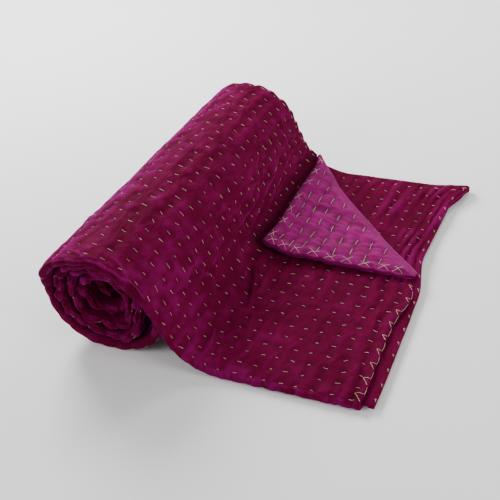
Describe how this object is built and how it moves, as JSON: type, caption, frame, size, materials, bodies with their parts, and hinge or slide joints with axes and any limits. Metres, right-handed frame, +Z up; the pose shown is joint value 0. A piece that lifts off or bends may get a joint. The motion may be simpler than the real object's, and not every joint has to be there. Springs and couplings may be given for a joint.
{
  "type": "kantha quilt",
  "caption": "Velvet kantha quilt folded in thirds and rolled, with its loose end lying flat and one corner turned back to show the cotton back.",
  "frame": {"origin": "centre of the bounding box, on the floor", "axes": "+Z up, +X along the strip towards its loose end, +Y along the roll, away from the end whose folds show"},
  "size_m": [0.48, 0.5029, 0.1772],
  "materials": {
    "velvet": "deep magenta cotton velvet with a soft pile",
    "cotton": "plain-woven magenta cotton"
  },
  "bodies": {
    "root": {"quilt": "velvet", "cotton_back": "cotton"}
  },
  "joints": []
}
